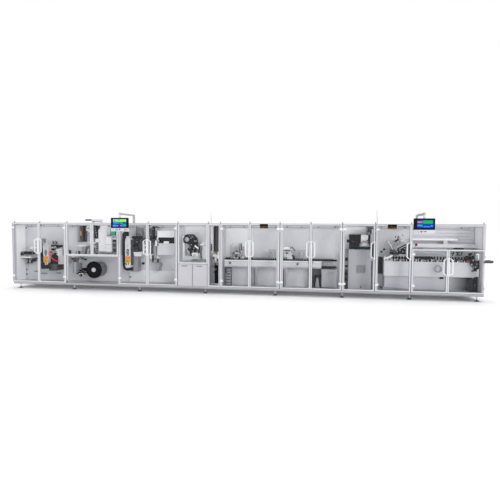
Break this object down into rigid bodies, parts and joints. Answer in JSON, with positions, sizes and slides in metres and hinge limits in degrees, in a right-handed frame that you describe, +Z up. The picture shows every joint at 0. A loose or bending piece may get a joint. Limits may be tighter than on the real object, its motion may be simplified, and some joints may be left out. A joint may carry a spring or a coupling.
{
  "type": "cartoning machine",
  "caption": "Long guarded packing line that forms and seals packs, feeds them with leaflets into cartons and sends the cartons out on a belt.",
  "frame": {"origin": "floor level under the middle of the bounding box", "axes": "+X along the line from the film end to the carton end, -Y towards the operator, +Z up"},
  "size_m": [13.16, 2.235, 2.24],
  "materials": {
    "white_paint": "satin",
    "grey_paint": "satin",
    "clear_pane": "polished",
    "zinc_steel": "brushed",
    "black_anodised": "satin",
    "chain_steel": "satin",
    "pale_plastic": "gloss",
    "panel_case": "satin",
    "film_roll": "gloss"
  },
  "bodies": {
    "machine": {"base_frame": "grey_paint", "levelling_feet": "zinc_steel", "guard_posts": "white_paint", "top_frame": "white_paint", "end_walls": "white_paint", "rear_panels": "white_paint", "mounting_plate": "grey_paint", "door_hinges": "white_paint", "guard_frames": "white_paint", "clear_panes": "clear_pane", "film_shelf": "white_paint", "web_rollers": "black_anodised", "forming_station": "black_anodised", "press_towers": "zinc_steel", "heating_station": "zinc_steel", "coding_station": "black_anodised", "service_cabinets": "grey_paint", "unwind_arms": "black_anodised", "sealing_station": "black_anodised", "punching_station": "black_anodised", "transfer_feeder": "black_anodised", "web_tower": "black_anodised", "transfer_bench": "grey_paint", "lug_chains": "chain_steel", "bench_stations": "zinc_steel", "leaflet_folder": "grey_paint", "cartoner_body": "grey_paint", "carton_magazine": "black_anodised", "top_belts": "zinc_steel", "outfeed_conveyor": "zinc_steel", "roof_drive": "white_paint", "signal_masts": "pale_plastic", "hmi_arms": "white_paint"},
    "door_a1": {"door_a1": "white_paint", "pane_a1": "clear_pane"},
    "door_a2": {"door_a2": "white_paint", "pane_a2": "clear_pane"},
    "door_c1": {"door_c1": "white_paint", "pane_c1": "clear_pane"},
    "door_c2": {"door_c2": "white_paint", "pane_c2": "clear_pane"},
    "door_f1": {"door_f1": "white_paint", "pane_f1": "clear_pane"},
    "door_f2": {"door_f2": "white_paint", "pane_f2": "clear_pane"},
    "door_f3": {"door_f3": "white_paint", "pane_f3": "clear_pane"},
    "door_f4": {"door_f4": "white_paint", "pane_f4": "clear_pane"},
    "door_g": {"door_g": "white_paint", "pane_g": "clear_pane"},
    "door_h": {"door_h": "white_paint", "pane_h": "clear_pane"},
    "door_i1": {"door_i1": "white_paint", "pane_i1": "clear_pane"},
    "door_i2": {"door_i2": "white_paint", "pane_i2": "clear_pane"},
    "hmi_panel_1": {"hmi_panel_1": "panel_case"},
    "hmi_panel_2": {"hmi_panel_2": "panel_case"},
    "film_reel": {"film_reel": "film_roll"}
  },
  "joints": [
    {"name": "door_a1_hinge", "type": "hinge", "parent": "machine", "child": "door_a1", "pos_m": [-6.568, -0.1925, 1], "axis": [0, 0, -1], "range_deg": [0, 85]},
    {"name": "door_a2_hinge", "type": "hinge", "parent": "machine", "child": "door_a2", "pos_m": [-4.892, -0.1925, 1], "axis": [0, 0, 1], "range_deg": [0, 85]},
    {"name": "door_c1_hinge", "type": "hinge", "parent": "machine", "child": "door_c1", "pos_m": [-3.278, -0.1925, 1], "axis": [0, 0, -1], "range_deg": [0, 85]},
    {"name": "door_c2_hinge", "type": "hinge", "parent": "machine", "child": "door_c2", "pos_m": [-1.582, -0.1925, 1], "axis": [0, 0, 1], "range_deg": [0, 85]},
    {"name": "door_f1_hinge", "type": "hinge", "parent": "machine", "child": "door_f1", "pos_m": [-0.368, -0.1925, 1], "axis": [0, 0, -1], "range_deg": [0, 85]},
    {"name": "door_f2_hinge", "type": "hinge", "parent": "machine", "child": "door_f2", "pos_m": [1.2155, -0.1925, 1], "axis": [0, 0, 1], "range_deg": [0, 85]},
    {"name": "door_f3_hinge", "type": "hinge", "parent": "machine", "child": "door_f3", "pos_m": [1.2395, -0.1925, 1], "axis": [0, 0, -1], "range_deg": [0, 85]},
    {"name": "door_f4_hinge", "type": "hinge", "parent": "machine", "child": "door_f4", "pos_m": [2.823, -0.1925, 1], "axis": [0, 0, 1], "range_deg": [0, 85]},
    {"name": "door_g_hinge", "type": "hinge", "parent": "machine", "child": "door_g", "pos_m": [2.847, -0.1925, 1], "axis": [0, 0, -1], "range_deg": [0, 85]},
    {"name": "door_h_hinge", "type": "hinge", "parent": "machine", "child": "door_h", "pos_m": [3.667, -0.1925, 1], "axis": [0, 0, -1], "range_deg": [0, 85]},
    {"name": "door_i1_hinge", "type": "hinge", "parent": "machine", "child": "door_i1", "pos_m": [4.542, -0.1925, 1], "axis": [0, 0, -1], "range_deg": [0, 85]},
    {"name": "door_i2_hinge", "type": "hinge", "parent": "machine", "child": "door_i2", "pos_m": [6.248, -0.1925, 1], "axis": [0, 0, 1], "range_deg": [0, 85]},
    {"name": "hmi_panel_1_swivel", "type": "hinge", "parent": "machine", "child": "hmi_panel_1", "pos_m": [-2.79, -1.0705, 2.1], "axis": [0, 0, 1], "range_deg": [-45, 45]},
    {"name": "hmi_panel_2_swivel", "type": "hinge", "parent": "machine", "child": "hmi_panel_2", "pos_m": [4.575, -1.0705, 2.1], "axis": [0, 0, 1], "range_deg": [-45, 45]},
    {"name": "film_reel_spin", "type": "hinge", "parent": "machine", "child": "film_reel", "pos_m": [-4.134, 0.1575, 0.563], "axis": [0, 1, 0], "continuous": true}
  ]
}
